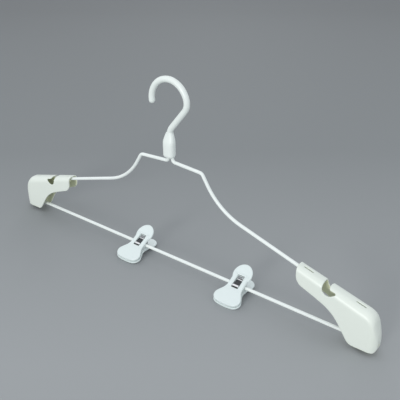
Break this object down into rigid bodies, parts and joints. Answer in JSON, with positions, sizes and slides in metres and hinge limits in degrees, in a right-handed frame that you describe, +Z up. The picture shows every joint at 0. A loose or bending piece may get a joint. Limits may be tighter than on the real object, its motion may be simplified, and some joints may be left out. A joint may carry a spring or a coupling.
{
  "type": "delicates hanger",
  "caption": "Coated-wire clothes hanger with a moulded hook, hollow notched shoulder ends and sprung clips that slide along a lower bar.",
  "frame": {"origin": "the inner top of the hook, where the hanger hangs on a rail, in the middle of the hook's thickness", "axes": "+X along the bar towards the shoulder end on the viewer's right, +Y away from the viewer, square to the plane of the wires, +Z up"},
  "size_m": [0.458, 0.0485, 0.2061],
  "materials": {
    "hook_plastic": "white moulded plastic, soft gloss",
    "wire_coat": "white plastic coat over steel wire, faintly uneven",
    "end_plastic": "white moulded plastic, slightly translucent, soft gloss",
    "clip_plastic": "cool white moulded plastic, slightly translucent, soft gloss",
    "spring_steel": "bright bent steel band"
  },
  "bodies": {
    "frame": {"hook_and_collar": "hook_plastic", "shoulder_wire": "wire_coat", "bottom_bar": "wire_coat", "shoulder_end_left": "end_plastic", "shoulder_end_right": "end_plastic"},
    "clip_left": {"spring_left": "spring_steel"},
    "front_jaw_left": {"front_jaw_left": "clip_plastic"},
    "back_jaw_left": {"back_jaw_left": "clip_plastic"},
    "clip_right": {"spring_right": "spring_steel"},
    "front_jaw_right": {"front_jaw_right": "clip_plastic"},
    "back_jaw_right": {"back_jaw_right": "clip_plastic"}
  },
  "joints": [
    {"name": "clip_left_slide", "type": "slide", "parent": "frame", "child": "clip_left", "axis": [1, 0, 0], "range_m": [-0.132, 0.029]},
    {"name": "clip_right_slide", "type": "slide", "parent": "frame", "child": "clip_right", "axis": [1, 0, 0], "range_m": [-0.0663, 0.0947]},
    {"name": "front_jaw_left_open", "type": "hinge", "parent": "clip_left", "child": "front_jaw_left", "pos_m": [-0.046, 0, -0.19025], "axis": [-1, 0, 0], "range_deg": [0, 20], "stiffness_Nm_per_rad": 0.2, "springref_deg": -28.65, "deforming": ["spring_left"]},
    {"name": "back_jaw_left_open", "type": "hinge", "parent": "clip_left", "child": "back_jaw_left", "pos_m": [-0.046, 0, -0.19025], "axis": [1, 0, 0], "range_deg": [0, 20], "stiffness_Nm_per_rad": 0.2, "springref_deg": -28.65},
    {"name": "front_jaw_right_open", "type": "hinge", "parent": "clip_right", "child": "front_jaw_right", "pos_m": [0.0833, 0, -0.19025], "axis": [-1, 0, 0], "range_deg": [0, 20], "stiffness_Nm_per_rad": 0.2, "springref_deg": -28.65, "deforming": ["spring_right"]},
    {"name": "back_jaw_right_open", "type": "hinge", "parent": "clip_right", "child": "back_jaw_right", "pos_m": [0.0833, 0, -0.19025], "axis": [1, 0, 0], "range_deg": [0, 20], "stiffness_Nm_per_rad": 0.2, "springref_deg": -28.65}
  ],
  "couplings": [
    {"joint": "back_jaw_left_open", "follows": "front_jaw_left_open", "ratio": 1},
    {"joint": "back_jaw_right_open", "follows": "front_jaw_right_open", "ratio": 1}
  ]
}
